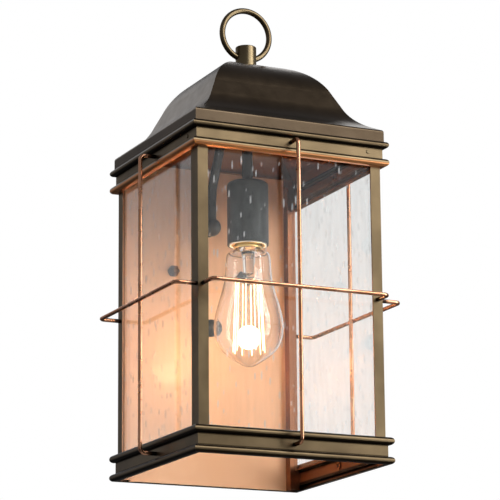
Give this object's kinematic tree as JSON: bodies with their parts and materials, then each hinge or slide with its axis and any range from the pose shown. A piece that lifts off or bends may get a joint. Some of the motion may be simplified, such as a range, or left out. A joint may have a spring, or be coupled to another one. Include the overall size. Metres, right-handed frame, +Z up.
{
  "type": "outdoor wall lantern",
  "caption": "Square outdoor wall lantern with an ogee roof, ring finial, seeded glass sides, copper guard wires, copper back panel and one filament lamp.",
  "frame": {"origin": "on the wall plane, at the centre of the mounting strap's back face", "axes": "+Z up, -Y out from the wall towards the front glass, +X to the right as seen from the front"},
  "size_m": [0.2308, 0.2184, 0.4517],
  "materials": {
    "bronze": "satin oil-rubbed bronze paint, copper where it faces the lamp",
    "copper_sheet": "satin copper-plated sheet",
    "copper_wire": "bright copper-plated rod",
    "seeded_glass": "clear, with drawn-out seeds",
    "bulb_glass": "clear, thin",
    "holder_paint": "satin dark grey",
    "ceramic": "unglazed white",
    "brass": "plain",
    "zinc": "zinc-plated",
    "foam": "closed-cell foam",
    "black_glass": "black vitrified insulator",
    "filament": "glowing tungsten"
  },
  "bodies": {
    "lantern": {"back_panel": "copper_sheet", "ball_elbow": "holder_paint", "bottom_rail_back": "bronze", "bottom_rail_front": "bronze", "bottom_rail_left": "bronze", "bottom_rail_right": "bronze", "cap_nuts": "holder_paint", "centre_contact": "brass", "conduit_arm": "holder_paint", "crown_nut": "zinc", "crown_washer": "zinc", "elbow_nut": "zinc", "finial_ring": "bronze", "finial_stem": "bronze", "glass_front": "seeded_glass", "glass_ledge_front": "bronze", "glass_ledge_left": "bronze", "glass_ledge_right": "bronze", "glass_left": "seeded_glass", "glass_right": "seeded_glass", "ground_screw": "brass", "guard_crossbar_front": "copper_wire", "guard_crossbar_left": "copper_wire", "guard_crossbar_right": "copper_wire", "guard_upright_front": "copper_wire", "guard_upright_left": "copper_wire", "guard_upright_right": "copper_wire", "hanging_tube": "holder_paint", "hub_nut": "zinc", "lower_ball_nut": "holder_paint", "lower_bolt": "zinc", "mounting_strap": "zinc", "pane_clips": "zinc", "post_back_left": "bronze", "post_back_right": "bronze", "post_front_left": "bronze", "post_front_right": "bronze", "push_nuts": "zinc", "rail_rivets": "bronze", "roof_shell": "bronze", "screw_shell": "brass", "socket_cup": "holder_paint", "socket_insulator": "ceramic", "socket_nut": "zinc", "strap_studs": "zinc", "top_rail_back": "bronze", "top_rail_front": "bronze", "top_rail_left": "bronze", "top_rail_right": "bronze", "wall_gasket": "foam", "wall_pan": "bronze", "wiring_hub": "holder_paint"},
    "bulb": {"bulb_glass": "bulb_glass", "bulb_base": "brass", "bulb_insulator": "black_glass", "bulb_contact": "brass", "bulb_stem": "bulb_glass", "bulb_filament": "filament", "filament_supports": "filament"}
  },
  "joints": [
    {"name": "bulb_withdraw", "type": "slide", "parent": "lantern", "child": "bulb", "axis": [0, 0, -1], "range_m": [0, 0.045]}
  ]
}
